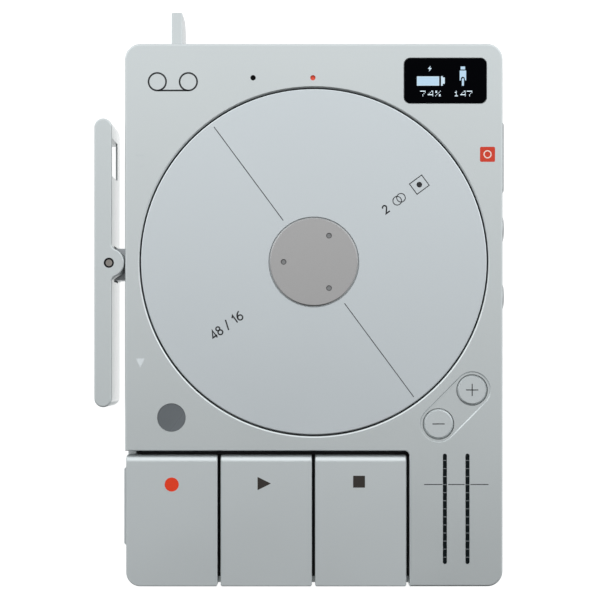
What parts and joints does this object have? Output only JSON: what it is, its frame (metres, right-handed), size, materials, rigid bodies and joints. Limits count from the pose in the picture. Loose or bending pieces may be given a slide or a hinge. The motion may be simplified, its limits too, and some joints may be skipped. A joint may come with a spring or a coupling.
{
  "type": "field recorder",
  "caption": "Flat pocket audio recorder with a turning reel, a side rocker, transport keys, side buttons, sockets and a small display.",
  "frame": {"origin": "middle of the case on the flat underside of the back pad", "axes": "+Z out of the face with the reel, +Y towards the head end with the display and the line sockets, +X to the right side with the round buttons"},
  "size_m": [0.0733, 0.1021, 0.0162],
  "materials": {
    "anodised_case": "fine bead-blasted, anodised",
    "anodised_key": "fine bead-blasted, anodised",
    "anodised_reel": "fine bead-blasted, anodised",
    "hub_metal": "darker matt anodised",
    "anodised_rocker": "fine bead-blasted, anodised",
    "bracket_metal": "darker matt anodised",
    "soft_back": "fine-grained soft pad",
    "black_glass": "black, polished",
    "smoked_window": "smoked, satin",
    "meter_black": "dark clear bar",
    "status_red": "clear orange-red",
    "pin_steel": "ground",
    "rod_steel": "blackened",
    "spring_steel": "drawn wire",
    "bearing_steel": "polished",
    "bell_steel": "plated",
    "magnet": "bonded magnet",
    "core_steel": "coated laminations",
    "copper": "enamelled winding",
    "motor_aluminium": "milled",
    "board": "solder mask",
    "cell_wrap": "wrapped cell",
    "inner_plastic": "moulded",
    "module_black": "moulded",
    "flex_amber": "film",
    "can_metal": "plated can",
    "plug_metal": "plated shell",
    "jack_black": "moulded"
  },
  "bodies": {
    "case": {"top_case": "anodised_case", "rear_cover": "anodised_case", "back_pad": "soft_back", "case_screws": "pin_steel", "speaker": "module_black", "battery": "cell_wrap", "main_board": "board", "io_board": "board", "motor_base": "motor_aluminium", "motor_screws": "pin_steel", "stator_core": "core_steel", "stator_coils": "copper", "key_frame": "inner_plastic", "key_rod": "rod_steel", "key_board": "board", "key_springs": "spring_steel", "control_board": "board", "display_glass": "black_glass", "display_module": "module_black", "front_flex": "flex_amber", "microphone": "can_metal", "light_pipe": "status_red", "sensor_window": "smoked_window", "sensor_board": "board", "main_jack": "jack_black", "usb_port": "plug_metal", "side_board": "board", "slider_switch": "module_black", "rocker_bracket": "bracket_metal", "rocker_pin": "pin_steel", "rocker_spring": "spring_steel", "lever_housing": "inner_plastic", "lever_pin": "pin_steel", "meter_guide_left": "meter_black", "meter_guide_right": "meter_black", "line_jack_1": "jack_black", "line_jack_2": "jack_black", "line_jack_3": "jack_black", "lower_bearing": "bearing_steel", "upper_bearing": "bearing_steel"},
    "reel": {"reel_disc": "anodised_reel", "reel_hub_cap": "hub_metal", "rotor_bell": "bell_steel", "magnet_ring": "magnet", "reel_shaft": "pin_steel"},
    "record_key": {"record_key": "anodised_key"},
    "play_key": {"play_key": "anodised_key"},
    "stop_key": {"stop_key": "anodised_key"},
    "minus_button": {"minus_button": "anodised_key"},
    "plus_button": {"plus_button": "anodised_key"},
    "memo_button": {"memo_button": "anodised_key"},
    "side_button_upper": {"side_button_upper": "anodised_key"},
    "side_button_lower": {"side_button_lower": "anodised_key"},
    "hold_slider": {"hold_slider": "anodised_key"},
    "rocker": {"rocker_bar": "anodised_rocker"},
    "power_lever": {"power_lever": "anodised_rocker"}
  },
  "joints": [
    {"name": "reel_spin", "type": "hinge", "parent": "case", "child": "reel", "pos_m": [0, 0.0094, 0.0145], "axis": [0, 0, 1], "continuous": true},
    {"name": "record_key_press", "type": "hinge", "parent": "case", "child": "record_key", "pos_m": [-0.02513, -0.02815, 0.0126], "axis": [1, 0, 0], "range_deg": [0, 2.8], "stiffness_Nm_per_rad": 0.08, "springref_deg": -5.73, "deforming": ["key_springs"]},
    {"name": "play_key_press", "type": "hinge", "parent": "case", "child": "play_key", "pos_m": [-0.00842, -0.02815, 0.0126], "axis": [1, 0, 0], "range_deg": [0, 2.8], "stiffness_Nm_per_rad": 0.08, "springref_deg": -5.73, "deforming": ["key_springs"]},
    {"name": "stop_key_press", "type": "hinge", "parent": "case", "child": "stop_key", "pos_m": [0.00829, -0.02815, 0.0126], "axis": [1, 0, 0], "range_deg": [0, 2.8], "stiffness_Nm_per_rad": 0.08, "springref_deg": -5.73, "deforming": ["key_springs"]},
    {"name": "minus_button_press", "type": "slide", "parent": "case", "child": "minus_button", "axis": [0, 0, -1], "range_m": [0, 0.0003], "stiffness_N_per_m": 3000, "springref_m": -0.0001},
    {"name": "plus_button_press", "type": "slide", "parent": "case", "child": "plus_button", "axis": [0, 0, -1], "range_m": [0, 0.0003], "stiffness_N_per_m": 3000, "springref_m": -0.0001},
    {"name": "memo_button_press", "type": "slide", "parent": "case", "child": "memo_button", "axis": [-1, 0, 0], "range_m": [0, 0.0005], "stiffness_N_per_m": 2500, "springref_m": -0.0001},
    {"name": "side_button_upper_press", "type": "slide", "parent": "case", "child": "side_button_upper", "axis": [-1, 0, 0], "range_m": [0, 0.0005], "stiffness_N_per_m": 2500, "springref_m": -0.0001},
    {"name": "side_button_lower_press", "type": "slide", "parent": "case", "child": "side_button_lower", "axis": [-1, 0, 0], "range_m": [0, 0.0005], "stiffness_N_per_m": 2500, "springref_m": -0.0001},
    {"name": "hold_slide", "type": "slide", "parent": "case", "child": "hold_slider", "axis": [0, 1, 0], "range_m": [0, 0.002]},
    {"name": "rocker_turn", "type": "hinge", "parent": "case", "child": "rocker", "pos_m": [-0.0363, 0.00928, 0.0088], "axis": [0, 0, 1], "range_deg": [-4.5, 4.5], "stiffness_Nm_per_rad": 0.06, "deforming": ["rocker_spring"]},
    {"name": "power_lever_turn", "type": "hinge", "parent": "case", "child": "power_lever", "pos_m": [-0.02442, 0.0446, 0.008], "axis": [0, 0, -1], "range_deg": [0, 14]}
  ]
}
